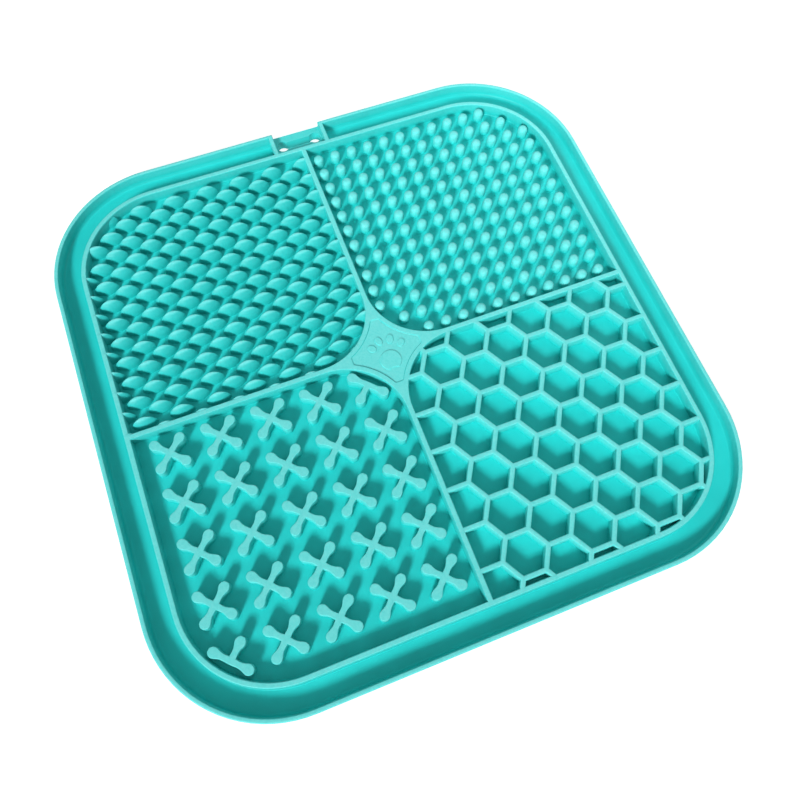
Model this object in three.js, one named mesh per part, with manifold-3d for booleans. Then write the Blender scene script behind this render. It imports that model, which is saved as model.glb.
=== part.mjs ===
// Square lick mat moulded in one piece of silicone, lying flat on its underside.
// Millimetres, +Z up. X runs across the mat and +Y points to the edge with the hanging slot.
import * as THREE from 'three';
import { mergeVertices } from 'three/addons/utils/BufferGeometryUtils.js';
import Module from 'manifold-3d';

const wasm = await Module();
wasm.setup();

// Whole mat
const SIDE = 200;
const HEIGHT = 6.5;
const FLOOR = 2.1;
const ROOT = 0.6;
const ARC_CENTRE = 59;
const CORNER_STEPS = 7;

// Rim, moat and the wall inside the moat
const RIM = 1.4;
const WALL_OUTSIDE = 90.7;
const WALL = 1.8;
const DIVIDER = 1.9;
const FIELD_OVERLAP = 0.6;

// Star where the dividers cross, with its shallow recess and the paw print in it
const STAR_ARC_AT = 22.5;
const STAR_STEPS = 6;
const RECESS_INSET = 2.0;
const RECESS_DEPTH = 0.4;
const RECESS_TIP = 12.3;
const PAW_HEIGHT = 0.25;
const PAD = { x: 0.1, y: -3.9, radius: 3.75, steps: 14 };
const PAD_HOLLOW = { below: 6.5, radius: 3.65, steps: 14 };
const TOE_STEPS = 6;
const TOES = [
  { x: -4.5, y: 2.1, width: 2.6, length: 3.3, lean: 42 },
  { x: -1.4, y: 4.1, width: 2.4, length: 3.5, lean: 14 },
  { x: 2.5, y: 3.6, width: 2.6, length: 3.7, lean: -16 },
  { x: 5.6, y: 1.1, width: 2.6, length: 3.3, lean: -44 },
];

// Honeycomb field, +X -Y
const CELL_SIDE = 7.832;
const CELL_RIB = 1.6;
const CELL_X = 27.75;
const CELL_Y = -18.81;
const CELL_COLUMNS = { first: -2, last: 5 };
const CELL_ROWS = { first: -6, last: 1 };

// Field of cross-shaped posts, -X -Y
const CROSS_PITCH = 16.92;
const CROSS_FIRST = { x: 10.4, y: 9.7 };
const CROSS_COUNT = 5;
const CROSS_WAIST = 1.5;
const CROSS_BULB = { along: 5.85, radius: 1.75, steps: 3, sweep: (4 * Math.PI) / 3 };
const CROSS_ARMS = [1, 3, 5, 7];
const CROSS_ARM_AT_STAR = 1;
const CROSS_ARM_AT_CORNER = 5;

// Field of round pegs, +X +Y
const PEG_PITCH = 6.62;
const PEG_FIRST = 4.1;
const PEG_COUNT = 13;
const PEG_TOP = 1.75;
const PEG_BASE = 1.9;
const PEG_SIDES = 5;
const PEG_GAP = 0.3;

// Field of scale-shaped posts, -X +Y
const SCALE_PITCH_X = 12.53;
const SCALE_PITCH_Y = 7.65;
const SCALE_ROWS = [
  { x: 2.1, y: 0.9, columns: 8, rows: 12 },
  { x: 8.35, y: 4.7, columns: 8, rows: 11 },
];
const SCALE_LENGTH = 8.1;
const SCALE_WIDTH = 4.4;
const SCALE_BROAD_SHARE = 0.42;
const SCALE_CORNER_REACH = 1.9;

// Hanging tab in the +Y side of the moat
const TAB_HALF = 9.2;
const TAB_WALL = 1.7;
const TAB_TOP = 3.75;
const SLOT_Y = 95.3;
const SLOT_HALF_WIDTH = 1.5;
const SLOT_END = { x: 6.4, radius: 2.3, steps: 10 };

const SILICONE = new THREE.MeshStandardMaterial({ color: 0x3ccfc8, roughness: 0.5, metalness: 0 });

function solid(geometry) {
  const bare = geometry.clone();
  bare.deleteAttribute('normal');
  bare.deleteAttribute('uv');
  const merged = mergeVertices(bare, 1e-4);
  return new wasm.Manifold(new wasm.Mesh({
    numProp: 3,
    vertProperties: new Float32Array(merged.attributes.position.array),
    triVerts: new Uint32Array(merged.index.array),
  }));
}

function prism(shape, bottom, top, steps = 6) {
  const geometry = new THREE.ExtrudeGeometry(shape, {
    depth: top - bottom,
    bevelEnabled: false,
    curveSegments: steps,
  });
  return solid(geometry.translate(0, 0, bottom));
}

function block(lowX, highX, lowY, highY, bottom, top) {
  const geometry = new THREE.BoxGeometry(highX - lowX, highY - lowY, top - bottom);
  return solid(geometry.translate((lowX + highX) / 2, (lowY + highY) / 2, (bottom + top) / 2));
}

function polygon(points) {
  return new THREE.Shape(points.map(([x, y]) => new THREE.Vector2(x, y)));
}

function arc(x, y, radius, from, to, steps) {
  return Array.from({ length: steps + 1 }, (_, step) => {
    const angle = from + ((to - from) * step) / steps;
    return [x + radius * Math.cos(angle), y + radius * Math.sin(angle)];
  });
}

// A square of this half width whose corner arcs all share the mat's corner centres
function roundedSquare(half) {
  const corners = [[1, 1], [-1, 1], [-1, -1], [1, -1]];
  return polygon(corners.flatMap(([sx, sy], index) => arc(
    sx * ARC_CENTRE, sy * ARC_CENTRE, half - ARC_CENTRE,
    (index * Math.PI) / 2, ((index + 1) * Math.PI) / 2, CORNER_STEPS,
  )));
}

function squareRing(outside, inside, bottom, top) {
  return prism(roundedSquare(outside), bottom, top)
    .subtract(prism(roundedSquare(inside), bottom - 1, top + 1));
}

// Four-pointed star with hollow sides: each side is an arc round a point of its own field
function starOutline(radius, reach) {
  const quarter = Math.PI / 2;
  const sweep = Math.acos(Math.min(1, (STAR_ARC_AT - reach) / radius));
  const sides = [[1, 1, 2], [-1, 1, 3], [-1, -1, 0], [1, -1, 1]];
  return polygon(sides.flatMap(([sx, sy, turn]) => {
    const middle = (turn + 0.5) * quarter;
    const spread = Math.max(sweep - quarter / 2, 0);
    return arc(
      sx * STAR_ARC_AT, sy * STAR_ARC_AT, radius,
      middle + spread, middle - spread, STAR_STEPS,
    );
  }));
}

// The inside of one field, reaching a little into the walls round it
function fieldShape(sx, sy) {
  const outer = WALL_OUTSIDE - WALL + FIELD_OVERLAP;
  const near = DIVIDER / 2 - FIELD_OVERLAP;
  const outline = [
    ...arc(STAR_ARC_AT, STAR_ARC_AT, STAR_ARC_AT - near, Math.PI, 1.5 * Math.PI, STAR_STEPS),
    [outer, near],
    ...arc(ARC_CENTRE, ARC_CENTRE, outer - ARC_CENTRE, 0, Math.PI / 2, CORNER_STEPS),
    [near, outer],
  ];
  const placed = outline.map(([x, y]) => [sx * x, sy * y]);
  return polygon(sx * sy > 0 ? placed : placed.reverse());
}

function unite(solids) {
  return solids.reduce((whole, part) => whole.add(part));
}

function tray() {
  const half = SIDE / 2;
  const inside = WALL_OUTSIDE - WALL / 2;
  return unite([
    prism(roundedSquare(half), 0, FLOOR),
    squareRing(half, half - RIM, FLOOR - ROOT, HEIGHT),
    squareRing(WALL_OUTSIDE, WALL_OUTSIDE - WALL, FLOOR - ROOT, HEIGHT),
    block(-DIVIDER / 2, DIVIDER / 2, -inside, inside, FLOOR - ROOT, HEIGHT),
    block(-inside, inside, -DIVIDER / 2, DIVIDER / 2, FLOOR - ROOT, HEIGHT),
  ]);
}

function star() {
  const side = STAR_ARC_AT - DIVIDER / 2;
  const body = prism(starOutline(side, STAR_ARC_AT), FLOOR - ROOT, HEIGHT);
  const recess = prism(
    starOutline(side + RECESS_INSET, RECESS_TIP), HEIGHT - RECESS_DEPTH, HEIGHT + 1,
  );
  return { body, recess, paw: pawPrint() };
}

function disc(x, y, radius, steps, bottom, top) {
  return prism(polygon(arc(x, y, radius, 0, 2 * Math.PI, steps).slice(1)), bottom, top);
}

function pawPrint() {
  const bottom = HEIGHT - RECESS_DEPTH - ROOT;
  const top = HEIGHT - RECESS_DEPTH + PAW_HEIGHT;
  const hollowY = PAD.y - PAD_HOLLOW.below;
  const pad = disc(PAD.x, PAD.y, PAD.radius, PAD.steps, bottom, top)
    .subtract(disc(PAD.x, hollowY, PAD_HOLLOW.radius, PAD_HOLLOW.steps, bottom - 1, top + 1));
  const toes = TOES.map(({ x, y, width, length, lean }) => {
    const oval = new THREE.Shape();
    const angle = THREE.MathUtils.degToRad(lean);
    oval.absellipse(x, y, width / 2, length / 2, 0, 2 * Math.PI, false, angle);
    return prism(oval, bottom, top, TOE_STEPS);
  });
  return unite([pad, ...toes]);
}

function honeycomb() {
  const stepX = 1.5 * CELL_SIDE;
  const stepY = Math.sqrt(3) * CELL_SIDE;
  const radius = CELL_SIDE - CELL_RIB / Math.sqrt(3);
  const cells = [];
  for (let column = CELL_COLUMNS.first; column <= CELL_COLUMNS.last; column += 1) {
    for (let row = CELL_ROWS.first; row <= CELL_ROWS.last; row += 1) {
      const x = CELL_X + column * stepX;
      const y = CELL_Y + (row + (Math.abs(column) % 2) / 2) * stepY;
      const outline = arc(x, y, radius, 0, 2 * Math.PI, 6).slice(1);
      cells.push(prism(polygon(outline), FLOOR - 2 * ROOT, HEIGHT + 1));
    }
  }
  return prism(fieldShape(1, -1), FLOOR - ROOT, HEIGHT).subtract(unite(cells));
}

// One arm of a cross, out from its waist round the knob, turned by eighths of a circle
function crossArm(eighth) {
  const notch = CROSS_WAIST / Math.SQRT2;
  const half = CROSS_BULB.sweep / 2;
  const knob = arc(CROSS_BULB.along, 0, CROSS_BULB.radius, -half, half, CROSS_BULB.steps);
  return turned([[notch, -notch], ...knob], eighth);
}

// The waist corner that is left where an arm is missing
function crossCorner(eighth) {
  const notch = CROSS_WAIST / Math.SQRT2;
  return turned([[notch, -notch]], eighth);
}

function turned(points, eighth) {
  const turn = (eighth * Math.PI) / 4;
  return points.map(([along, across]) => [
    along * Math.cos(turn) - across * Math.sin(turn),
    along * Math.sin(turn) + across * Math.cos(turn),
  ]);
}

function crossPost(missing) {
  const outline = CROSS_ARMS.flatMap((eighth) => (
    eighth === missing ? crossCorner(eighth) : crossArm(eighth)
  ));
  return prism(polygon(outline), FLOOR - ROOT, HEIGHT);
}

// The post next to the star and the post in the outer corner have three arms, the others four
function crossPosts() {
  const whole = crossPost(null);
  const atStar = crossPost(CROSS_ARM_AT_STAR);
  const atCorner = crossPost(CROSS_ARM_AT_CORNER);
  const last = CROSS_COUNT - 1;
  const posts = [];
  for (let column = 0; column < CROSS_COUNT; column += 1) {
    for (let row = 0; row < CROSS_COUNT; row += 1) {
      const x = -CROSS_FIRST.x - column * CROSS_PITCH;
      const y = -CROSS_FIRST.y - row * CROSS_PITCH;
      let post = whole;
      if (column === 0 && row === 0) post = atStar;
      if (column === last && row === last) post = atCorner;
      posts.push(post.translate([x, y, 0]));
    }
  }
  return unite(posts);
}

function pegs() {
  const height = HEIGHT - FLOOR + ROOT;
  const peg = solid(new THREE.CylinderGeometry(PEG_TOP, PEG_BASE, height, PEG_SIDES)
    .rotateX(Math.PI / 2)
    .translate(0, 0, HEIGHT - height / 2));
  const starReach = STAR_ARC_AT - DIVIDER / 2 - PEG_BASE - PEG_GAP;
  const cornerReach = WALL_OUTSIDE - WALL - ARC_CENTRE - PEG_BASE - PEG_GAP;
  const placed = [];
  for (let column = 0; column < PEG_COUNT; column += 1) {
    for (let row = 0; row < PEG_COUNT; row += 1) {
      const x = PEG_FIRST + column * PEG_PITCH;
      const y = PEG_FIRST + row * PEG_PITCH;
      const inStar = x < STAR_ARC_AT && y < STAR_ARC_AT
        && Math.hypot(STAR_ARC_AT - x, STAR_ARC_AT - y) > starReach;
      const inCorner = x > ARC_CENTRE && y > ARC_CENTRE
        && Math.hypot(x - ARC_CENTRE, y - ARC_CENTRE) > cornerReach;
      if (!inStar && !inCorner) placed.push(peg.translate([x, y, 0]));
    }
  }
  return unite(placed);
}

function scales() {
  const tip = SCALE_LENGTH / 2;
  const broad = SCALE_BROAD_SHARE * tip;
  const half = SCALE_WIDTH / 2;
  const outline = [[tip, 0], [broad, half], [-broad, half], [-tip, 0], [-broad, -half], [broad, -half]];
  const post = prism(polygon(outline), FLOOR - ROOT, HEIGHT);
  const posts = [];
  const cornerReach = WALL_OUTSIDE - WALL - ARC_CENTRE + SCALE_CORNER_REACH;
  for (const first of SCALE_ROWS) {
    for (let column = 0; column < first.columns; column += 1) {
      for (let row = 0; row < first.rows; row += 1) {
        const x = -first.x - column * SCALE_PITCH_X;
        const y = first.y + row * SCALE_PITCH_Y;
        const inCorner = -x > ARC_CENTRE && y > ARC_CENTRE
          && Math.hypot(-x - ARC_CENTRE, y - ARC_CENTRE) > cornerReach;
        if (!inCorner) posts.push(post.translate([x, y, 0]));
      }
    }
  }
  return unite(posts).intersect(prism(fieldShape(-1, 1), 0, HEIGHT));
}

function slotTool() {
  const bar = block(-SLOT_END.x, SLOT_END.x, SLOT_Y - SLOT_HALF_WIDTH,
    SLOT_Y + SLOT_HALF_WIDTH, -1, HEIGHT + 1);
  const ends = [-SLOT_END.x, SLOT_END.x].map((x) => (
    disc(x, SLOT_Y, SLOT_END.radius, SLOT_END.steps, -1, HEIGHT + 1)
  ));
  return unite([bar, ...ends]);
}

function mat() {
  const half = SIDE / 2;
  const outer = TAB_HALF + TAB_WALL;
  const centre = star();
  const wallRoot = WALL_OUTSIDE - WALL / 2;
  const crossWalls = [-1, 1].map((side) => block(
    Math.min(side * TAB_HALF, side * outer), Math.max(side * TAB_HALF, side * outer),
    wallRoot, half - RIM / 2, FLOOR - ROOT, HEIGHT,
  ));
  const tab = block(-outer + TAB_WALL / 2, outer - TAB_WALL / 2, wallRoot, half, 0, TAB_TOP);
  const gap = block(-TAB_HALF, TAB_HALF, WALL_OUTSIDE, half + 1, TAB_TOP, HEIGHT + 1);
  const dish = unite([tray(), centre.body, ...crossWalls, tab]);
  return unite([dish, honeycomb(), crossPosts(), pegs(), scales()])
    .subtract(centre.recess)
    .add(centre.paw)
    .subtract(gap)
    .subtract(slotTool());
}

function toMesh(name, body, material) {
  const { vertProperties, triVerts } = body.getMesh();
  const geometry = new THREE.BufferGeometry();
  geometry.setAttribute('position', new THREE.Float32BufferAttribute(vertProperties, 3));
  geometry.setIndex(new THREE.Uint32BufferAttribute(triVerts, 1));
  geometry.computeVertexNormals();
  const mesh = new THREE.Mesh(geometry, material);
  mesh.name = name;
  return mesh;
}

const group = new THREE.Group();
group.add(toMesh('mat', mat(), SILICONE));

export default group;
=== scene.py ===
"""Square lick mat moulded in one piece of turquoise silicone, lying flat, as a finished look.

The mat is modelled in millimetres on a bench of edit-mode tools and scaled to metres when a
piece is finished. X runs across the mat and +Y points to the edge with the hanging slot.
"""

from __future__ import annotations

import logging
import math
from abc import ABC, abstractmethod
from dataclasses import dataclass
from enum import Enum
from itertools import product
from typing import Callable, Sequence

import bmesh
import bpy
from mathutils import Matrix, Vector

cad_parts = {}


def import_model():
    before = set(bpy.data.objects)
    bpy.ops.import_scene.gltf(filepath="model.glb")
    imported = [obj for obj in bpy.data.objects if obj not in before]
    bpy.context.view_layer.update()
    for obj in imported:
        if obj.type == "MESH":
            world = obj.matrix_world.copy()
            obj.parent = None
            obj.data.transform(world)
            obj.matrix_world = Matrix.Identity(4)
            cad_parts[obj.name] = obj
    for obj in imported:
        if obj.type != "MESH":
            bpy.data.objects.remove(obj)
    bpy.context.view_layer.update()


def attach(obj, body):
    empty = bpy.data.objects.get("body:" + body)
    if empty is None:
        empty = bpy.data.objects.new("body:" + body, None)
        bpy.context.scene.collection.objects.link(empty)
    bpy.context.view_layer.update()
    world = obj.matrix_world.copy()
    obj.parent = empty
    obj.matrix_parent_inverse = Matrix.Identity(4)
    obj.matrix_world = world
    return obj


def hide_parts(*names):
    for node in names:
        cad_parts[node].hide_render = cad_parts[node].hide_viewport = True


LOG = logging.getLogger("lick_mat")
MM = 0.001
NODE = "mat"
BODY = "root"
# Name of the point attribute that sets how much painted sheen each piece's steep sides carry, and
# how little painted shade
SIDE_SHEEN = "side_sheen"
WHITE = (1.0, 1.0, 1.0, 1.0)

# The mat's four quarters, as the signs of x and y
QUARTERS = ((1, 1), (-1, 1), (-1, -1), (1, -1))
# How far a cutting tool reaches beyond what it cuts
OVER = 1.0
# Distances under which two places count as one, and under which points are merged
TOUCH = 0.01
MERGE = 0.002
# Least Z of a normal that looks up or down, and least rise of an upright edge
FLAT = 0.9
UPRIGHT = 0.1
# Least turn between the faces of a corner, and most turn that is shaded smooth
CORNER_TURN = 1.0
SMOOTH_TURN = math.radians(40)
# Straight steps in the rounding of a small edge
EDGE_STEPS = 3
# Sockets of a Mix node, whose names repeat
VALUE_A, VALUE_B, COLOUR_A, COLOUR_B = 2, 3, 6, 7
MIXED_VALUE, MIXED_COLOUR = 0, 2

Object = bpy.types.Object
Material = bpy.types.Material
Nodes = bpy.types.NodeTree
Socket = bpy.types.NodeSocket
FaceTest = Callable[[Vector, Vector], bool]
EdgeTest = Callable[[Vector, Vector, float], bool]
PointTest = Callable[[Vector], bool]


class Join(Enum):
    """How one solid is combined with another."""

    ADD = "UNION"
    CUT = "DIFFERENCE"
    KEEP_SHARED = "INTERSECT"


class Part(Enum):
    """What edit mode selects."""

    POINTS = "VERT"
    EDGES = "EDGE"
    FACES = "FACE"


@dataclass(frozen=True)
class Step:
    """One step of a profile: how far inwards on a face, and how far along its normal."""

    inward: float
    along: float


@dataclass(frozen=True)
class Ring:
    """One ring of a drawn-out face: its height, and its size against the face it is drawn from."""

    z: float
    across: float
    along: float


@dataclass(frozen=True)
class Corner:
    """A corner of a plate and the radius that rounds it."""

    x: float
    y: float
    radius: float
    segments: int


def round_over(radius: float, segments: int = EDGE_STEPS) -> list[Step]:
    """Steps that turn from a flat top down into a wall.

    Args:
        radius: Radius of the rounded edge.
        segments: Number of straight steps.

    Returns:
        The steps, from the flat to the wall.
    """
    turn = math.pi / 2 / segments
    return [
        Step(
            radius * (math.sin((n + 1) * turn) - math.sin(n * turn)),
            radius * (math.cos(n * turn) - math.cos((n + 1) * turn)),
        )
        for n in range(segments)
    ]


def fillet(radius: float, segments: int = EDGE_STEPS) -> list[Step]:
    """Steps that turn from a wall into a flat floor.

    Args:
        radius: Radius of the fillet.
        segments: Number of straight steps.

    Returns:
        The steps, from the wall to the floor.
    """
    return [Step(step.along, step.inward) for step in round_over(radius, segments)]


def sunk(steps: list[Step]) -> list[Step]:
    """The same steps, with the face sinking where it rose."""
    return [Step(step.inward, -step.along) for step in steps]


def upright(one: Vector, other: Vector) -> bool:
    """Whether an edge between two points stands up."""
    return abs(one.z - other.z) > UPRIGHT


class Bench:
    """Modelling tools. Lengths are millimetres until a piece is finished."""

    @staticmethod
    def clear() -> None:
        """Deselect every object."""
        bpy.ops.object.select_all(action="DESELECT")

    @staticmethod
    def only(piece: Object) -> None:
        """Select an object alone and make it active.

        Args:
            piece: The object.
        """
        Bench.clear()
        piece.select_set(True)
        bpy.context.view_layer.objects.active = piece

    @staticmethod
    def added(name: str, size: Sequence[float] = (1, 1, 1)) -> Object:
        """Name and size the primitive that was just added, and put its place into its mesh.

        Args:
            name: The new object's name.
            size: How much larger it becomes along x, y and z.

        Returns:
            The object.
        """
        piece = bpy.context.view_layer.objects.active
        piece.name = name
        piece.scale = size
        Bench.only(piece)
        bpy.ops.object.transform_apply(location=True, rotation=True, scale=True)
        return piece

    @staticmethod
    def plate(
        name: str, low: tuple, high: tuple, z: float, corners: Sequence[Corner] = ()
    ) -> Object:
        """A flat plate with rounded corners.

        Args:
            name: The new object's name.
            low: Lowest x and y.
            high: Highest x and y.
            z: Height of the plate.
            corners: The corners that are rounded.

        Returns:
            The plate, one face that looks up.
        """
        Bench.clear()
        centre = ((low[0] + high[0]) / 2, (low[1] + high[1]) / 2, z)
        bpy.ops.mesh.primitive_plane_add(size=1, location=centre)
        piece = Bench.added(name, (high[0] - low[0], high[1] - low[1], 1))
        for corner in corners:
            at = Vector((corner.x, corner.y, z))
            with Editing(piece) as edit:
                edit.pick_points(lambda p, at=at: (p - at).length < TOUCH)
                bpy.ops.mesh.bevel(
                    offset=corner.radius, segments=corner.segments, affect="VERTICES"
                )
        return piece

    @staticmethod
    def block(name: str, low: tuple, high: tuple) -> Object:
        """A box between two corners.

        Args:
            name: The new object's name.
            low: Lowest x, y and z.
            high: Highest x, y and z.

        Returns:
            The box.
        """
        Bench.clear()
        centre = [(a + b) / 2 for a, b in zip(low, high)]
        bpy.ops.mesh.primitive_cube_add(size=1, location=centre)
        return Bench.added(name, [b - a for a, b in zip(low, high)])

    @staticmethod
    def drum(name: str, at: tuple, radius: float, low: float, high: float, sides: int) -> Object:
        """An upright cylinder.

        Args:
            name: The new object's name.
            at: x and y of its axis.
            radius: Its radius.
            low: Height of its foot.
            high: Height of its top.
            sides: Number of sides.

        Returns:
            The cylinder.
        """
        Bench.clear()
        centre = (*at, (low + high) / 2)
        bpy.ops.mesh.primitive_cylinder_add(
            vertices=sides, radius=radius, depth=high - low, location=centre
        )
        return Bench.added(name)

    @staticmethod
    def copied(piece: Object, x: float, y: float) -> Object:
        """Copy an object with its own mesh, moved across the mat.

        Args:
            piece: The object to copy.
            x: How far to move along X.
            y: How far to move along Y.

        Returns:
            The copy.
        """
        twin = piece.copy()
        twin.data = piece.data.copy()
        bpy.context.collection.objects.link(twin)
        twin.data.transform(Matrix.Translation((x, y, 0)))
        return twin

    @staticmethod
    def joined(pieces: list[Object], name: str) -> Object:
        """Join objects into one mesh.

        Args:
            pieces: The objects.
            name: Name of the joined object.

        Returns:
            The joined object.
        """
        Bench.clear()
        for piece in pieces:
            piece.select_set(True)
        bpy.context.view_layer.objects.active = pieces[0]
        bpy.ops.object.join()
        pieces[0].name = name
        return pieces[0]

    @staticmethod
    def combine(piece: Object, tool: Object, how: Join) -> None:
        """Combine a solid with a tool solid, which is used up.

        Args:
            piece: The solid that changes.
            tool: The tool.
            how: Whether it is added, cut away, or only the shared space is kept.
        """
        Bench.only(piece)
        change = piece.modifiers.new("Combine", "BOOLEAN")
        change.operation = how.value
        change.solver = "EXACT"
        change.object = tool
        bpy.ops.object.modifier_apply(modifier=change.name)
        bpy.data.objects.remove(tool, do_unlink=True)

    @staticmethod
    def thicken(piece: Object, rise: float) -> None:
        """Extrude a flat sheet into a closed solid.

        Args:
            piece: The sheet.
            rise: How far it is extruded, down where negative.
        """
        with Editing(piece) as edit:
            edit.pick_all()
            bpy.ops.mesh.extrude_region_move(TRANSFORM_OT_translate={"value": (0, 0, rise)})
            edit.point_outwards()

    @staticmethod
    def shape_face(piece: Object, z: float, steps: Sequence[Step]) -> None:
        """Carry the flat faces at one height inwards and along their normal, step by step.

        Args:
            piece: The solid.
            z: Height of the faces.
            steps: The steps of the profile.
        """
        with Editing(piece) as edit:
            edit.pick_faces(lambda c, n: abs(c.z - z) < TOUCH and abs(n.z) > FLAT)
            for step in steps:
                bpy.ops.mesh.inset(thickness=step.inward, depth=step.along)

    @staticmethod
    def draw_face(piece: Object, rings: Sequence[Ring], crest: float = 0.0) -> None:
        """Draw a flat face out through rings that shrink towards a point on the Y axis.

        Args:
            piece: The solid.
            rings: The rings, of which the first is the face itself.
            crest: Place of that point along Y.
        """
        foot = rings[0].z
        with Editing(piece) as edit:
            edit.pick_faces(lambda c, n: abs(c.z - foot) < TOUCH and abs(n.z) > FLAT)
            for before, after in zip(rings, rings[1:]):
                rise = (0, 0, after.z - before.z)
                bpy.ops.mesh.extrude_region_move(TRANSFORM_OT_translate={"value": rise})
                bpy.ops.transform.resize(
                    value=(after.across / before.across, after.along / before.along, 1),
                    center_override=(0, crest, after.z),
                )

    @staticmethod
    def round_top(piece: Object, z: float, radius: float, segments: int = EDGE_STEPS) -> None:
        """Round the outline of a solid's flat top.

        Args:
            piece: The solid.
            z: Height of the top.
            radius: Radius of the rounded edge.
            segments: Number of straight steps.
        """
        low = z - TOUCH
        with Editing(piece) as edit:
            edit.pick_edges(lambda a, b, turn: min(a.z, b.z) > low and turn > CORNER_TURN)
            bpy.ops.mesh.bevel(offset=radius, segments=segments)

    @staticmethod
    def finish(piece: Object, name: str, coat: Material, side_sheen: float) -> Object:
        """Bring a piece to metres, smooth it, dress it and tie it to the frame.

        Args:
            piece: The modelled solid, in millimetres.
            name: Its final name.
            coat: Its material.
            side_sheen: How much painted light its steep sides carry: the more, the paler they are
                painted and the less painted shade they get.

        Returns:
            The finished piece.
        """
        with Editing(piece) as edit:
            edit.pick_all()
            bpy.ops.mesh.remove_doubles(threshold=MERGE)
            edit.point_outwards()
        piece.data.transform(Matrix.Scale(MM, 4))
        piece.name = name
        piece.data.name = name
        piece.data.materials.clear()
        piece.data.materials.append(coat)
        # Painted light: this per-piece value, read by the material, paints the steep sides paler
        # and gives them painted sheen
        layer = piece.data.attributes.new(SIDE_SHEEN, "FLOAT", "POINT")
        layer.data.foreach_set("value", [side_sheen] * len(piece.data.vertices))
        Bench.only(piece)
        bpy.ops.object.shade_smooth_by_angle(angle=SMOOTH_TURN)
        change = piece.modifiers.new("Flats", "WEIGHTED_NORMAL")
        change.keep_sharp = True
        bpy.ops.object.modifier_apply(modifier=change.name)
        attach(piece, BODY)
        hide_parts(NODE)
        LOG.info("%s: %d faces", name, len(piece.data.polygons))
        return piece


class Editing:
    """Edit mode on one object, with nothing selected at the start."""

    def __init__(self, piece: Object) -> None:
        """Keep the object that is edited."""
        self.piece = piece

    def __enter__(self) -> Editing:
        """Enter edit mode.

        Returns:
            The tools of edit mode.
        """
        Bench.only(self.piece)
        bpy.ops.object.mode_set(mode="EDIT")
        self.start(Part.FACES)
        return self

    def __exit__(self, *_: object) -> None:
        """Return to object mode."""
        bpy.ops.object.mode_set(mode="OBJECT")

    def start(self, part: Part) -> None:
        """Choose what is selected, and select nothing."""
        bpy.ops.mesh.select_mode(type=part.value)
        bpy.ops.mesh.select_all(action="DESELECT")

    def pick_all(self) -> None:
        """Select everything."""
        bpy.ops.mesh.select_all(action="SELECT")

    def point_outwards(self) -> None:
        """Turn all faces outwards, and leave them selected."""
        self.pick_all()
        bpy.ops.mesh.normals_make_consistent(inside=False)

    def pick_points(self, test: PointTest) -> None:
        """Select some of the points.

        Args:
            test: Whether a point at this place is selected.
        """
        self.start(Part.POINTS)
        shape = bmesh.from_edit_mesh(self.piece.data)
        for point in shape.verts:
            point.select = test(point.co)
        shape.select_flush(True)
        bmesh.update_edit_mesh(self.piece.data)

    def pick_edges(self, test: EdgeTest) -> None:
        """Select some of the edges.

        Args:
            test: Whether an edge with these two ends and this turn between its faces is selected.
        """
        self.start(Part.EDGES)
        shape = bmesh.from_edit_mesh(self.piece.data)
        for edge in shape.edges:
            ends = [point.co for point in edge.verts]
            edge.select_set(test(ends[0], ends[1], edge.calc_face_angle(0.0)))
        bmesh.update_edit_mesh(self.piece.data)

    def pick_faces(self, test: FaceTest) -> None:
        """Select some of the faces.

        Args:
            test: Whether a face with this middle and normal is selected.
        """
        self.start(Part.FACES)
        shape = bmesh.from_edit_mesh(self.piece.data)
        for face in shape.faces:
            face.select_set(test(face.calc_center_median(), face.normal))
        bmesh.update_edit_mesh(self.piece.data)


@dataclass
class Field:
    """One quarter of the mat between the dividers, the star and the outer wall."""

    side_x: int
    side_y: int
    near: float = 0.95
    far: float = 88.9
    star_radius: float = 21.55
    corner_radius: float = 29.9
    arc_steps: int = 18

    def plate(self, name: str, z: float, grow: float) -> Object:
        """A plate of the field's outline, grown past its walls.

        Args:
            name: The new object's name.
            z: Height of the plate.
            grow: How far it reaches past the walls, or short of them where negative.

        Returns:
            The plate.
        """
        near = self.near - grow
        far = self.far + grow
        x = sorted((self.side_x * near, self.side_x * far))
        y = sorted((self.side_y * near, self.side_y * far))
        corners = [
            Corner(self.side_x * reach, self.side_y * reach, radius + grow, self.arc_steps)
            for reach, radius in ((near, self.star_radius), (far, self.corner_radius))
        ]
        return Bench.plate(name, (x[0], y[0]), (x[1], y[1]), z, corners)

    def prism(self, name: str, low: float, high: float, grow: float) -> Object:
        """An upright solid of the field's outline.

        Args:
            name: The new object's name.
            low: Height of its underside.
            high: Height of its top.
            grow: How far it reaches past the walls.

        Returns:
            The solid.
        """
        piece = self.plate(name, high, grow)
        Bench.thicken(piece, low - high)
        return piece


@dataclass
class Assembly(ABC):
    """A sub-assembly of the mat, which becomes one piece."""

    name: str
    # How much painted sheen the steep sides carry; lower values paint them deeper, as painted shade
    side_sheen: float

    @abstractmethod
    def model(self) -> Object:
        """Model the sub-assembly in millimetres.

        Returns:
            The modelled solid.
        """

    def build(self, coat: Material) -> Object:
        """Model the sub-assembly and finish it.

        Args:
            coat: The silicone material.

        Returns:
            The finished piece.
        """
        return Bench.finish(self.model(), self.name, coat, self.side_sheen)


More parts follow.
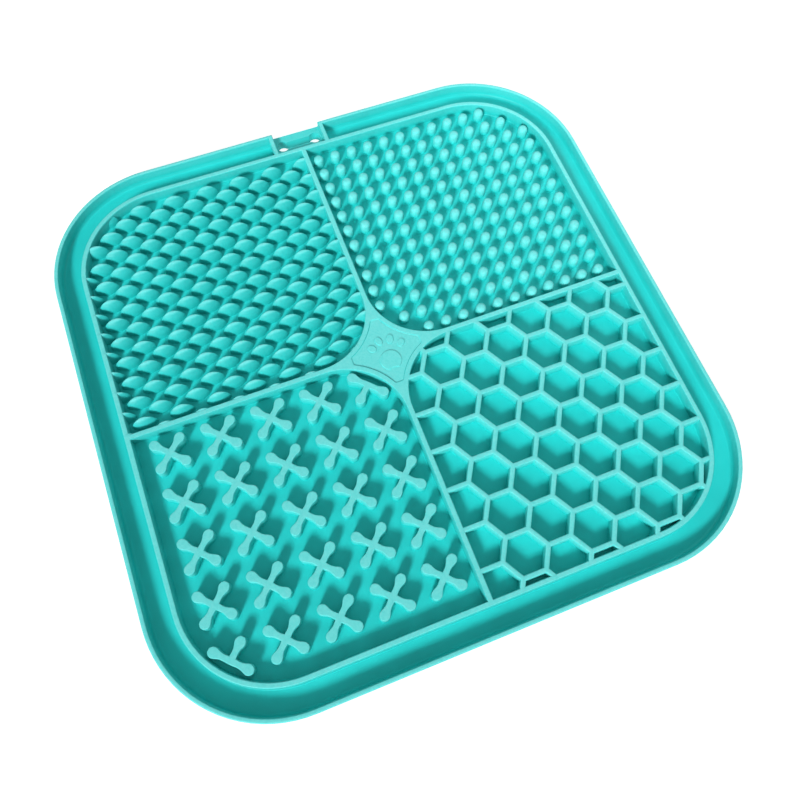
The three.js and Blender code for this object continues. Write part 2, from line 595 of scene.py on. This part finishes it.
@dataclass
class Tray(Assembly):
    """Floor, rim, moat, inner wall, dividers, star and hanging tab."""

    name: str = "mat_tray"
    side_sheen: float = 0.3
    half: float = 100.0
    height: float = 6.5
    floor: float = 2.1
    corner_radius: float = 41.0
    corner_steps: int = 20
    rim: float = 1.5
    rim_round: float = 0.4
    rim_steps: int = 4
    moat: float = 7.8
    cove: float = 1.3
    cove_steps: int = 5
    edge: float = 0.4
    draft: float = 0.12
    wall_outside: float = 90.7
    lip: float = 0.01
    proud: float = 0.5
    recess_tip: float = 12.6
    recess_arc: float = 23.25
    recess_arc_sides: int = 96
    recess_tip_radius: float = 0.9
    recess_tip_steps: int = 4
    recess_foot: float = 0.001
    recess_wall: tuple = ((0.0, 1.0), (-0.05, 0.99), (-0.33, 0.966), (-0.4, 0.95))
    star_arc_at: float = 22.5
    tab_half: float = 9.2
    tab_wall: float = 1.7
    tab_top: float = 3.75
    tab_sunk: float = 0.002
    gap_draft: float = 0.02
    gap_overrun: float = 5.0
    slot_y: float = 95.3
    slot_half_width: float = 1.5
    slot_end_x: float = 6.4
    slot_end_radius: float = 2.3
    slot_end_sides: int = 32

    def model(self) -> Object:
        """The outer form with all that is sunk into it and the tab.

        Returns:
            The solid.
        """
        body = self.body()
        for side_x, side_y in QUARTERS:
            Bench.combine(body, self.pocket(Field(side_x, side_y)), Join.CUT)
        Bench.combine(body, self.star_recess(), Join.CUT)
        Bench.combine(body, self.tab_block(), Join.ADD)
        Bench.combine(body, self.tab_gap(), Join.CUT)
        Bench.combine(body, self.slot_tool(), Join.CUT)
        return body

    def body(self) -> Object:
        """The outer form: a rounded square with rim, moat and a flat plateau inside.

        Returns:
            The solid.
        """
        half = self.half
        corners = [
            Corner(sx * half, sy * half, self.corner_radius, self.corner_steps)
            for sx, sy in QUARTERS
        ]
        piece = Bench.plate("tray", (-half, -half), (half, half), 0, corners)
        Bench.thicken(piece, self.height - self.rim_round)
        depth = self.height - self.floor
        steps = [
            *fillet(self.rim_round, self.rim_steps),
            Step(self.rim - self.rim_round - self.edge, 0),
            *sunk(round_over(self.edge)),
            Step(self.draft, self.edge + self.cove - depth),
            *sunk(fillet(self.cove, self.cove_steps)),
            Step(self.moat - 2 * self.draft - self.cove - self.edge, 0),
            *round_over(self.edge),
            Step(self.draft, depth - 2 * self.edge),
            *fillet(self.edge),
        ]
        Bench.shape_face(piece, self.height - self.rim_round, steps)
        with Editing(piece) as edit:
            edit.pick_edges(lambda a, b, _: max(a.z, b.z) < TOUCH)
            bpy.ops.mesh.bevel(offset=self.edge, segments=EDGE_STEPS)
        return piece

    def pocket(self, area: Field) -> Object:
        """The tool that sinks one field, with rounded lips and a fillet at the floor.

        Args:
            area: The field.

        Returns:
            The tool.
        """
        top = self.height + self.lip
        piece = area.plate("pocket", self.height + self.proud, self.edge)
        Bench.thicken(piece, self.lip - self.proud)
        self.sink(piece, top, self.floor, self.draft)
        return piece

    def sink(self, piece: Object, top: float, floor: float, draft: float) -> None:
        """Shape a tool's underside into a hollow with rounded lips and a filleted floor.

        Args:
            piece: The tool.
            top: Height of its underside.
            floor: Height of the hollow's floor.
            draft: How far the wall leans in.
        """
        wall = Step(draft, top - floor - 2 * self.edge)
        Bench.shape_face(piece, top, [*round_over(self.edge), wall, *fillet(self.edge)])

    def star_recess(self) -> Object:
        """The tool that sinks the recess into the star, its tips rounded and its wall sloped.

        Returns:
            The tool.
        """
        reach = self.recess_tip
        low = self.height + self.recess_foot
        high = self.height + OVER
        tool = Bench.block("recess", (-reach, -reach, low), (reach, reach, high))
        for sx, sy in QUARTERS:
            at = (sx * self.star_arc_at, sy * self.star_arc_at)
            drum = Bench.drum(
                "side", at, self.recess_arc, low - OVER, high + OVER, self.recess_arc_sides
            )
            Bench.combine(tool, drum, Join.CUT)
        with Editing(tool) as edit:
            edit.pick_edges(
                lambda a, b, _: upright(a, b) and max(abs(a.x), abs(a.y)) > reach - TOUCH
            )
            bpy.ops.mesh.bevel(offset=self.recess_tip_radius, segments=self.recess_tip_steps)
        Bench.draw_face(tool, [Ring(low + drop, size, size) for drop, size in self.recess_wall])
        return tool

    def tab_block(self) -> Object:
        """The block across the moat that carries the hanging slot.

        Returns:
            The solid.
        """
        half = self.tab_half + self.tab_wall
        low = (-half, self.wall_outside - self.rim / 2, self.floor / 2)
        high = (half, self.half - self.rim / 2, self.height - self.tab_sunk)
        piece = Bench.block("tab", low, high)
        with Editing(piece) as edit:
            edit.pick_edges(lambda a, b, _: min(a.z, b.z) > self.floor and abs(a.x - b.x) < TOUCH)
            bpy.ops.mesh.bevel(offset=self.edge, segments=EDGE_STEPS)
        return piece

    def tab_gap(self) -> Object:
        """The tool that lowers the tab between its two cross walls and opens the rim.

        Returns:
            The tool.
        """
        half = self.tab_half + self.edge
        low = (-half, self.wall_outside - self.edge)
        high = (half, self.half + self.gap_overrun)
        piece = Bench.plate("gap", low, high, self.height + OVER)
        Bench.thicken(piece, self.lip - OVER)
        self.sink(piece, self.height + self.lip, self.tab_top, self.gap_draft)
        return piece

    def slot_tool(self) -> Object:
        """The tool that cuts the hanging slot, narrow with a round hole at each end.

        Returns:
            The tool.
        """
        top = self.height + OVER
        tool = Bench.block(
            "slot",
            (-self.slot_end_x, self.slot_y - self.slot_half_width, -OVER),
            (self.slot_end_x, self.slot_y + self.slot_half_width, top),
        )
        for side in (-1, 1):
            at = (side * self.slot_end_x, self.slot_y)
            end = Bench.drum("end", at, self.slot_end_radius, -OVER, top, self.slot_end_sides)
            Bench.combine(tool, end, Join.ADD)
        return tool


@dataclass
class Honeycomb(Assembly):
    """Thin ribs round six-sided cells in the +X -Y field."""

    name: str = "honeycomb_ribs"
    side_sheen: float = 0.5
    side: float = 7.832
    rib: float = 1.75
    middle_x: float = 27.75
    middle_y: float = -18.81
    columns: tuple = (-3, 7)
    rows: tuple = (-6, 3)
    low: float = 1.8
    high: float = 6.49
    edge: float = 0.42
    reach: float = 0.9
    weld: float = 0.05

    def model(self) -> Object:
        """The ribs, trimmed to the field.

        Returns:
            The solid.
        """
        net = self.net()
        room = Field(1, -1).prism("room", self.low - OVER, self.high + OVER, self.reach)
        Bench.combine(net, room, Join.KEEP_SHARED)
        return net

    def net(self) -> Object:
        """The whole net of ribs, before it is trimmed to the field.

        Returns:
            The solid.
        """
        Bench.clear()
        centre = (0, 0, self.high)
        bpy.ops.mesh.primitive_circle_add(
            vertices=6, radius=self.side, fill_type="NGON", location=centre
        )
        cell = Bench.added("cell")
        with Editing(cell) as edit:
            edit.pick_all()
            bpy.ops.transform.rotate(value=math.pi / 6, orient_axis="Z", center_override=centre)
        step_x = 1.5 * self.side
        step_y = math.sqrt(3) * self.side
        cells = []
        for column, row in product(range(*self.columns), range(*self.rows)):
            shift = abs(column) % 2 / 2
            x = self.middle_x + column * step_x
            y = self.middle_y + (row + shift) * step_y
            cells.append(Bench.copied(cell, x, y))
        bpy.data.objects.remove(cell, do_unlink=True)
        net = Bench.joined(cells, "net")
        with Editing(net) as edit:
            edit.pick_all()
            bpy.ops.mesh.remove_doubles(threshold=self.weld)
            edit.point_outwards()
            bpy.ops.mesh.inset(thickness=self.rib / 2, depth=0, use_individual=True)
            bpy.ops.mesh.delete(type="FACE")
        Bench.thicken(net, self.low - self.high)
        Bench.round_top(net, self.high, self.edge)
        return net


@dataclass
class CrossPosts(Assembly):
    """Upright posts of a cross with four knobbed arms in the -X -Y field."""

    name: str = "cross_posts"
    side_sheen: float = 0.5
    pitch: float = 16.92
    first_x: float = 10.4
    first_y: float = 9.7
    count: int = 5
    waist: float = 1.06
    low: float = 1.8
    high: float = 6.5
    edge: float = 0.25
    arm: tuple = (
        (2.3, 0.98),
        (3.3, 1.02),
        (4.2, 1.25),
        (5.0, 1.58),
        (5.85, 1.75),
        (6.73, 1.52),
        (7.33, 0.95),
        (7.6, 0.4),
    )

    def model(self) -> Object:
        """One post of each kind, copied over the field.

        Returns:
            The joined posts.
        """
        whole = self.post(None)
        at_star = self.post(Vector((1, 1, 0)))
        at_corner = self.post(Vector((-1, -1, 0)))
        last = self.count - 1
        kinds = {(0, 0): at_star, (last, last): at_corner}
        posts = []
        for column, row in product(range(self.count), repeat=2):
            kind = kinds.get((column, row), whole)
            x = -self.first_x - column * self.pitch
            y = -self.first_y - row * self.pitch
            posts.append(Bench.copied(kind, x, y))
        for used in (whole, at_star, at_corner):
            bpy.data.objects.remove(used, do_unlink=True)
        return Bench.joined(posts, self.name)

    def post(self, without: Vector | None) -> Object:
        """One cross at the origin, its arms on the diagonals.

        Args:
            without: The diagonal whose arm is missing, or None for a whole cross.

        Returns:
            The solid.
        """
        Bench.clear()
        centre = (0, 0, self.high)
        bpy.ops.mesh.primitive_plane_add(size=2 * self.waist, location=centre)
        post = Bench.added("post")
        reach = half = self.waist
        with Editing(post) as edit:
            edit.pick_edges(lambda a, b, _: min(a.x, b.x) > self.waist - TOUCH)
            for along, width in self.arm:
                step = (along - reach, 0, 0)
                bpy.ops.mesh.extrude_region_move(TRANSFORM_OT_translate={"value": step})
                bpy.ops.transform.resize(value=(1, width / half, 1), center_override=centre)
                reach = along
                half = width
            edit.pick_faces(lambda c, n: c.x > self.waist)
            for _ in range(3):
                bpy.ops.mesh.duplicate()
                bpy.ops.transform.rotate(value=math.pi / 2, orient_axis="Z", center_override=centre)
            edit.pick_all()
            bpy.ops.mesh.remove_doubles(threshold=TOUCH)
            bpy.ops.transform.rotate(value=math.pi / 4, orient_axis="Z", center_override=centre)
            if without is not None:
                edit.pick_faces(lambda c, n: c.dot(without) > self.waist)
                bpy.ops.mesh.delete(type="FACE")
        Bench.thicken(post, self.low - self.high)
        Bench.round_top(post, self.high, self.edge)
        return post


@dataclass
class RoundPegs(Assembly):
    """Round domed pegs in the +X +Y field."""

    name: str = "round_pegs"
    # High, so that the pegs' lit sides are painted pale, as a painted highlight
    side_sheen: float = 0.8
    pitch: float = 6.62
    first: float = 4.1
    count: int = 13
    foot_radius: float = 1.9
    low: float = 1.8
    sides: int = 12
    clear: float = 2.2
    dome: tuple = (
        Ring(5.3, 1.84, 1.84),
        Ring(5.85, 1.72, 1.72),
        Ring(6.22, 1.45, 1.45),
        Ring(6.43, 1.0, 1.0),
        Ring(6.5, 0.5, 0.5),
    )

    def model(self) -> Object:
        """One peg, copied over the field.

        Returns:
            The joined pegs.
        """
        peg = self.peg()
        area = Field(1, 1)
        pegs = []
        for column, row in product(range(self.count), repeat=2):
            x = self.first + column * self.pitch
            y = self.first + row * self.pitch
            if self.fits(area, x, y):
                pegs.append(Bench.copied(peg, x, y))
        bpy.data.objects.remove(peg, do_unlink=True)
        return Bench.joined(pegs, self.name)

    def fits(self, area: Field, x: float, y: float) -> bool:
        """Whether a peg at this place is clear of the star and of the outer corner.

        Args:
            area: The field.
            x: Place across the mat.
            y: Place along the mat.

        Returns:
            True where the peg stands.
        """
        star = area.near + area.star_radius
        corner = area.far - area.corner_radius
        from_star = math.hypot(star - x, star - y)
        from_corner = math.hypot(x - corner, y - corner)
        if max(x, y) < star and from_star > area.star_radius - self.clear:
            return False
        return min(x, y) < corner or from_corner < area.corner_radius - self.clear

    def peg(self) -> Object:
        """One peg at the origin: a tapered shank and a domed top.

        Returns:
            The solid.
        """
        shoulder = self.dome[0]
        peg = Bench.drum("peg", (0, 0), self.foot_radius, self.low, shoulder.z, self.sides)
        taper = shoulder.across / self.foot_radius
        with Editing(peg) as edit:
            edit.pick_faces(lambda c, n: n.z > FLAT)
            bpy.ops.transform.resize(value=(taper, taper, 1), center_override=(0, 0, shoulder.z))
        Bench.draw_face(peg, self.dome)
        return peg


@dataclass
class ScalePosts(Assembly):
    """Lens-shaped domed posts in staggered rows, like fish scales, in the -X +Y field."""

    name: str = "scale_posts"
    # Low, so that the scale posts' slopes are painted deeper, as painted shade
    side_sheen: float = 0.12
    pitch_x: float = 12.53
    pitch_y: float = 7.65
    rows: tuple = ((2.1, 0.2, 12), (8.35, 4.0, 11))
    columns: int = 8
    length: float = 8.9
    width: float = 3.4
    tip_radius: float = 0.3
    tip_slack: float = 0.1
    low: float = 1.8
    sides: int = 24
    corner_reach: float = 1.9
    wall_reach: float = 0.9
    crest: float = 1.2
    dome: tuple = (
        Ring(2.7, 1.0, 1.0),
        Ring(3.6, 0.98, 0.95),
        Ring(4.4, 0.93, 0.86),
        Ring(5.1, 0.84, 0.74),
        Ring(5.7, 0.7, 0.58),
        Ring(6.15, 0.52, 0.4),
        Ring(6.4, 0.34, 0.24),
        Ring(6.5, 0.15, 0.1),
    )

    def model(self) -> Object:
        """One post, copied over the field, with the posts that meet a wall trimmed.

        Returns:
            The joined posts.
        """
        post = self.post()
        area = Field(-1, 1)
        corner = area.far - area.corner_radius
        reach = area.corner_radius + self.corner_reach
        posts = []
        for first_x, first_y, count in self.rows:
            for column, row in product(range(self.columns), range(count)):
                x = first_x + column * self.pitch_x
                y = first_y + row * self.pitch_y
                if min(x, y) <= corner or math.hypot(x - corner, y - corner) <= reach:
                    posts.append(Bench.copied(post, -x, y))
        bpy.data.objects.remove(post, do_unlink=True)
        group = Bench.joined(posts, self.name)
        room = area.prism("room", self.low - OVER, self.dome[-1].z + OVER, self.wall_reach)
        Bench.combine(group, room, Join.KEEP_SHARED)
        return group

    def post(self) -> Object:
        """One lens-shaped post at the origin.

        Returns:
            The solid.
        """
        half_length = self.length / 2
        half_width = self.width / 2
        radius = (half_length**2 + half_width**2) / self.width
        offset = radius - half_width
        shoulder = self.dome[0].z
        low = self.low - OVER
        post = Bench.drum("scale", (0, offset), radius, self.low, shoulder, self.sides)
        other = Bench.drum("other", (0, -offset), radius, low, shoulder + OVER, self.sides)
        Bench.combine(post, other, Join.KEEP_SHARED)
        with Editing(post) as edit:
            edit.pick_edges(
                lambda a, b, _: upright(a, b) and abs(a.x) > half_length - self.tip_slack
            )
            bpy.ops.mesh.bevel(offset=self.tip_radius, segments=EDGE_STEPS)
        Bench.draw_face(post, self.dome, self.crest)
        return post


@dataclass
class PawPrint(Assembly):
    """A plain raised paw in the recess: a pad with a hollow lower edge and four oval toes."""

    name: str = "paw_print"
    side_sheen: float = 0.6
    low: float = 5.9
    top: float = 6.44
    slope: float = 0.3
    slope_steps: int = 2
    pad: tuple = (0.1, -3.9, 3.75)
    pad_sides: int = 48
    pad_corner: float = 0.6
    pad_corner_turn: float = 0.8
    hollow_below: float = 6.5
    hollow_radius: float = 3.65
    toe_sides: int = 32
    toes: tuple = (
        (-4.5, 2.1, 2.6, 3.3, 42),
        (-1.4, 4.1, 2.4, 3.5, 14),
        (2.5, 3.6, 2.6, 3.7, -16),
        (5.6, 1.1, 2.6, 3.3, -44),
    )

    def model(self) -> Object:
        """The pad and the toes.

        Returns:
            The joined solids.
        """
        shapes = [self.pad_shape(), *(self.toe(*toe) for toe in self.toes)]
        return Bench.joined(shapes, self.name)

    def pad_shape(self) -> Object:
        """The pad, a disc that is hollowed at its lower edge.

        Returns:
            The solid.
        """
        x, y, radius = self.pad
        low = self.low - OVER
        high = self.top + OVER
        at = (x, y - self.hollow_below)
        pad = Bench.drum("pad", (x, y), radius, self.low, self.top, self.pad_sides)
        hollow = Bench.drum("hollow", at, self.hollow_radius, low, high, self.pad_sides)
        Bench.combine(pad, hollow, Join.CUT)
        with Editing(pad) as edit:
            edit.pick_edges(lambda a, b, turn: upright(a, b) and turn > self.pad_corner_turn)
            bpy.ops.mesh.bevel(offset=self.pad_corner, segments=EDGE_STEPS)
        Bench.round_top(pad, self.top, self.slope, self.slope_steps)
        return pad

    def toe(self, x: float, y: float, width: float, length: float, lean: float) -> Object:
        """One oval toe.

        Args:
            x: Place of its middle across the mat.
            y: Place of its middle along the mat.
            width: Its width.
            length: Its length.
            lean: How far it leans, in degrees.

        Returns:
            The solid.
        """
        centre = (0, 0, self.low)
        turn = -math.radians(lean)
        piece = Bench.drum("toe", (0, 0), width / 2, self.low, self.top, self.toe_sides)
        with Editing(piece) as edit:
            edit.pick_all()
            bpy.ops.transform.resize(value=(1, length / width, 1), center_override=centre)
            bpy.ops.transform.rotate(value=turn, orient_axis="Z", center_override=centre)
            bpy.ops.transform.translate(value=(x, y, 0))
        Bench.round_top(piece, self.top, self.slope, self.slope_steps)
        return piece


@dataclass(frozen=True)
class Silicone:
    """Satin turquoise silicone, with painted sheen on the lands that stand highest and painted
    shade on its steep sides.
    """

    # The first two colours span the silicone's random tone and also paint shade on steep sides and
    # light on up-facing ones; the third is painted sheen on the high tops
    deep_and_shade: tuple = (0.008, 0.42, 0.402, 1.0)
    pale_and_lit: tuple = (0.024, 0.72, 0.7, 1.0)
    painted_sheen: tuple = (0.18, 0.765, 0.748, 1.0)
    roughness: tuple = (0.42, 0.55)
    sheen_height: tuple = (2.3, 5.4)
    painted_light_tilt: tuple = (0.72, 0.98)
    gloss_index: float = 1.43
    gloss_level: float = 0.3
    scatter: float = 0.2
    scatter_reach: tuple = (0.25, 1.0, 0.95)
    scatter_depth: float = 1.2
    cloud_scale: float = 60.0
    cloud_detail: float = 3.0
    speckle_scale: float = 1300.0
    speckle_span: tuple = (0.35, 0.65)
    speckle_reach: tuple = (0.72, 1.0)
    grain_scale: float = 1600.0
    grain_detail: float = 2.0
    grain_strength: float = 0.12
    grain_depth: float = 0.05

    def material(self) -> Material:
        """Build the node material.

        Returns:
            The material.
        """
        coat = bpy.data.materials.new("turquoise_silicone")
        coat.use_nodes = True
        tree = coat.node_tree
        shader = tree.nodes["Principled BSDF"]
        place = tree.nodes.new("ShaderNodeTexCoord").outputs["Object"]
        tint = self.clouds(tree, place, self.cloud_scale, self.cloud_detail)
        # Painted light: colour runs from deep on steep sides, as painted shade, to pale on
        # up-facing ones, and painted sheen is laid over the high tops
        level = self.level(tree)
        colour = self.mixed(tree, self.halved(tree, tint, level), self.deep_and_shade, self.pale_and_lit)
        painted_sheen = self.mixed(tree, self.sheen_mask(tree, place, level), colour, self.painted_sheen)
        tree.links.new(painted_sheen, shader.inputs["Base Color"])
        tree.links.new(self.spanned(tree, tint, (0, 1), self.roughness), shader.inputs["Roughness"])
        tree.links.new(self.skin(tree, place), shader.inputs["Normal"])
        shader.inputs["Subsurface Weight"].default_value = self.scatter
        shader.inputs["Subsurface Radius"].default_value = self.scatter_reach
        shader.inputs["Subsurface Scale"].default_value = self.scatter_depth * MM
        shader.inputs["IOR"].default_value = self.gloss_index
        shader.inputs["Specular IOR Level"].default_value = self.gloss_level
        return coat

    def clouds(self, tree: Nodes, place: Socket, scale: float, detail: float) -> Socket:
        """Cloudy variation.

        Args:
            tree: The material's nodes.
            place: The place on the object.
            scale: How fine the clouds are.
            detail: How many finer layers they have.

        Returns:
            A value between 0 and 1.
        """
        noise = tree.nodes.new("ShaderNodeTexNoise")
        noise.inputs["Scale"].default_value = scale
        noise.inputs["Detail"].default_value = detail
        tree.links.new(place, noise.inputs["Vector"])
        return noise.outputs["Fac"]

    def halved(self, tree: Nodes, one: Socket, other: Socket) -> Socket:
        """The middle between two values.

        Args:
            tree: The material's nodes.
            one: The first value.
            other: The second value.

        Returns:
            Their mean.
        """
        mix = tree.nodes.new("ShaderNodeMix")
        mix.inputs["Factor"].default_value = 0.5
        tree.links.new(one, mix.inputs[VALUE_A])
        tree.links.new(other, mix.inputs[VALUE_B])
        return mix.outputs[MIXED_VALUE]

    def mixed(self, tree: Nodes, factor: Socket, under: Socket | tuple, over: tuple) -> Socket:
        """One colour laid over another.

        Args:
            tree: The material's nodes.
            factor: The share of the upper colour.
            under: The lower colour, or the socket that gives it.
            over: The upper colour.

        Returns:
            The colour.
        """
        mix = tree.nodes.new("ShaderNodeMix")
        mix.data_type = "RGBA"
        if isinstance(under, Socket):
            tree.links.new(under, mix.inputs[COLOUR_A])
        else:
            mix.inputs[COLOUR_A].default_value = under
        mix.inputs[COLOUR_B].default_value = over
        tree.links.new(factor, mix.inputs["Factor"])
        return mix.outputs[MIXED_COLOUR]

    def level(self, tree: Nodes) -> Socket:
        """How far the surface looks up, with the piece's side sheen as its least value; this paints
        shade on steep sides and sheen on tops.

        Args:
            tree: The material's nodes.

        Returns:
            A value between 0 and 1.
        """
        carried = tree.nodes.new("ShaderNodeAttribute")
        carried.attribute_name = SIDE_SHEEN
        facing = tree.nodes.new("ShaderNodeNewGeometry").outputs["Normal"]
        rise = self.ramp_of_z(tree, facing, *self.painted_light_tilt)
        tree.links.new(carried.outputs["Fac"], rise.inputs["To Min"])
        return rise.outputs["Result"]

    def sheen_mask(self, tree: Nodes, place: Socket, level: Socket) -> Socket:
        """Where painted sheen lies: where the surface stands high and looks up.

        Args:
            tree: The material's nodes.
            place: The place on the object.
            level: How far the surface looks up.

        Returns:
            A value between 0 and 1.
        """
        low, high = self.sheen_height
        rise = self.ramp_of_z(tree, place, low * MM, high * MM)
        painted_sheen = self.times(tree, rise.outputs["Result"], level)
        return self.times(tree, painted_sheen, self.speckle(tree, place))

    def times(self, tree: Nodes, one: Socket, other: Socket) -> Socket:
        """The product of two values.

        Args:
            tree: The material's nodes.
            one: The first value.
            other: The second value.

        Returns:
            Their product.
        """
        both = tree.nodes.new("ShaderNodeMath")
        both.operation = "MULTIPLY"
        tree.links.new(one, both.inputs[0])
        tree.links.new(other, both.inputs[1])
        return both.outputs["Value"]

    def speckle(self, tree: Nodes, place: Socket) -> Socket:
        """The fine uneven grain of the painted sheen.

        Args:
            tree: The material's nodes.
            place: The place on the object.

        Returns:
            A value that is 1 or a little less.
        """
        noise = self.clouds(tree, place, self.speckle_scale, self.cloud_detail)
        return self.spanned(tree, noise, self.speckle_span, self.speckle_reach)

    def ramp_of_z(self, tree: Nodes, vector: Socket, low: float, high: float) -> bpy.types.Node:
        """A smooth rise with a vector's Z.

        Args:
            tree: The material's nodes.
            vector: The vector.
            low: Z at which the rise starts.
            high: Z at which it reaches 1.

        Returns:
            The node of the rise, which starts from its To Min.
        """
        split = tree.nodes.new("ShaderNodeSeparateXYZ")
        tree.links.new(vector, split.inputs["Vector"])
        rise = tree.nodes.new("ShaderNodeMapRange")
        rise.interpolation_type = "SMOOTHSTEP"
        rise.inputs["From Min"].default_value = low
        rise.inputs["From Max"].default_value = high
        tree.links.new(split.outputs["Z"], rise.inputs["Value"])
        return rise

    def spanned(self, tree: Nodes, value: Socket, source: tuple, target: tuple) -> Socket:
        """A value moved from one span to another.

        Args:
            tree: The material's nodes.
            value: The value.
            source: Lowest and highest value before.
            target: Lowest and highest value after.

        Returns:
            The new value.
        """
        span = tree.nodes.new("ShaderNodeMapRange")
        for end, limit in zip(("From Min", "From Max", "To Min", "To Max"), (*source, *target)):
            span.inputs[end].default_value = limit
        tree.links.new(value, span.inputs["Value"])
        return span.outputs["Result"]

    def skin(self, tree: Nodes, place: Socket) -> Socket:
        """The fine grain that the mould leaves.

        Args:
            tree: The material's nodes.
            place: The place on the object.

        Returns:
            The bumped normal.
        """
        bump = tree.nodes.new("ShaderNodeBump")
        bump.inputs["Strength"].default_value = self.grain_strength
        bump.inputs["Distance"].default_value = self.grain_depth * MM
        grain = self.clouds(tree, place, self.grain_scale, self.grain_detail)
        tree.links.new(grain, bump.inputs["Height"])
        return bump.outputs["Normal"]


@dataclass
class Studio:
    """Floor, light and camera."""

    floor_half: float = 3.0
    floor_glow: float = 0.88
    floor_paint: tuple = (0.3, 0.3, 0.3, 1.0)
    floor_roughness: float = 0.9
    light_from: tuple = (-1.08, -1.21, 1.0)
    light_strength: float = 3.35
    light_spread: float = 12.0
    soft_from: tuple = (-0.1, -0.5, 1.0)
    soft_strength: float = 0.35
    soft_spread: float = 75.0
    fill_at: tuple = (150.0, 105.0, 120.0)
    fill_size: float = 150.0
    fill_power: float = 0.1
    sky: float = 0.235
    camera_at: tuple = (-40.21, -97.77, 237.34)
    camera_to: tuple = (-1.24, -16.46, 0.0)
    camera_roll: float = 4.77
    focal_pixels: float = 741.3
    frame_pixels: float = 800.0
    sensor_width: float = 36.0
    nearest_seen: float = 10.0

    def build(self) -> None:
        """Put up the floor, the lights and the camera."""
        self.floor()
        self.lights()
        self.camera()

    def floor(self) -> None:
        """A wide white floor that glows a little, so that shadows on it stay faint."""
        Bench.clear()
        bpy.ops.mesh.primitive_plane_add(size=2 * self.floor_half)
        floor = Bench.added("floor")
        paint = bpy.data.materials.new("white_floor")
        paint.use_nodes = True
        shader = paint.node_tree.nodes["Principled BSDF"]
        shader.inputs["Base Color"].default_value = self.floor_paint
        shader.inputs["Roughness"].default_value = self.floor_roughness
        shader.inputs["Emission Color"].default_value = WHITE
        shader.inputs["Emission Strength"].default_value = self.floor_glow
        floor.data.materials.append(paint)

    def lights(self) -> None:
        """A key light from the lower left, two softer lights and an even white sky."""
        self.far_light("key", self.light_from, self.light_strength, self.light_spread)
        self.far_light("soft", self.soft_from, self.soft_strength, self.soft_spread)
        panel = bpy.data.lights.new("fill", "AREA")
        panel.shape = "DISK"
        panel.size = self.fill_size * MM
        panel.energy = self.fill_power
        fill = bpy.data.objects.new("fill", panel)
        bpy.context.collection.objects.link(fill)
        fill.visible_camera = False
        fill.location = Vector(self.fill_at) * MM
        fill.rotation_euler = Vector(self.fill_at).to_track_quat("Z", "Y").to_euler()
        bpy.context.scene.world = self.sky_world()
        bpy.context.scene.view_settings.view_transform = "Standard"

    def sky_world(self) -> bpy.types.World:
        """An even white sky that looks brighter than it lights.

        Returns:
            The world.
        """
        world = bpy.data.worlds.new("sky")
        world.use_nodes = True
        tree = world.node_tree
        back = tree.nodes["Background"]
        back.inputs["Color"].default_value = WHITE
        path = tree.nodes.new("ShaderNodeLightPath")
        span = tree.nodes.new("ShaderNodeMapRange")
        span.inputs["To Min"].default_value = self.sky
        tree.links.new(path.outputs["Is Camera Ray"], span.inputs["Value"])
        tree.links.new(span.outputs["Result"], back.inputs["Strength"])
        return world

    def far_light(self, name: str, source: tuple, strength: float, spread: float) -> None:
        """A light that is far away.

        Args:
            name: Its name.
            source: The direction it comes from.
            strength: Its strength.
            spread: How wide it looks from the mat, in degrees.
        """
        lamp = bpy.data.lights.new(name, "SUN")
        lamp.energy = strength
        lamp.angle = math.radians(spread)
        light = bpy.data.objects.new(name, lamp)
        bpy.context.collection.objects.link(light)
        light.rotation_euler = Vector(source).to_track_quat("Z", "Y").to_euler()

    def camera(self) -> None:
        """The camera, at the photograph's viewing angle."""
        lens = bpy.data.cameras.new("camera")
        lens.sensor_width = self.sensor_width
        lens.lens = self.focal_pixels / self.frame_pixels * self.sensor_width
        lens.clip_start = self.nearest_seen * MM
        eye = bpy.data.objects.new("camera", lens)
        bpy.context.collection.objects.link(eye)
        at = Vector(self.camera_at) * MM
        back = at - Vector(self.camera_to) * MM
        turn = back.to_track_quat("Z", "Y").to_matrix().to_4x4()
        roll = Matrix.Rotation(math.radians(self.camera_roll), 4, "Z")
        eye.matrix_world = Matrix.Translation(at) @ turn @ roll
        bpy.context.scene.camera = eye


def main() -> None:
    """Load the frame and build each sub-assembly in turn."""
    logging.basicConfig(level=logging.INFO, format="%(name)s %(message)s")
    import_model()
    coat = Silicone().material()
    for assembly in (Tray(), Honeycomb(), CrossPosts(), RoundPegs(), ScalePosts(), PawPrint()):
        assembly.build(coat)
    Studio().build()


if __name__ == "__main__":
    main()
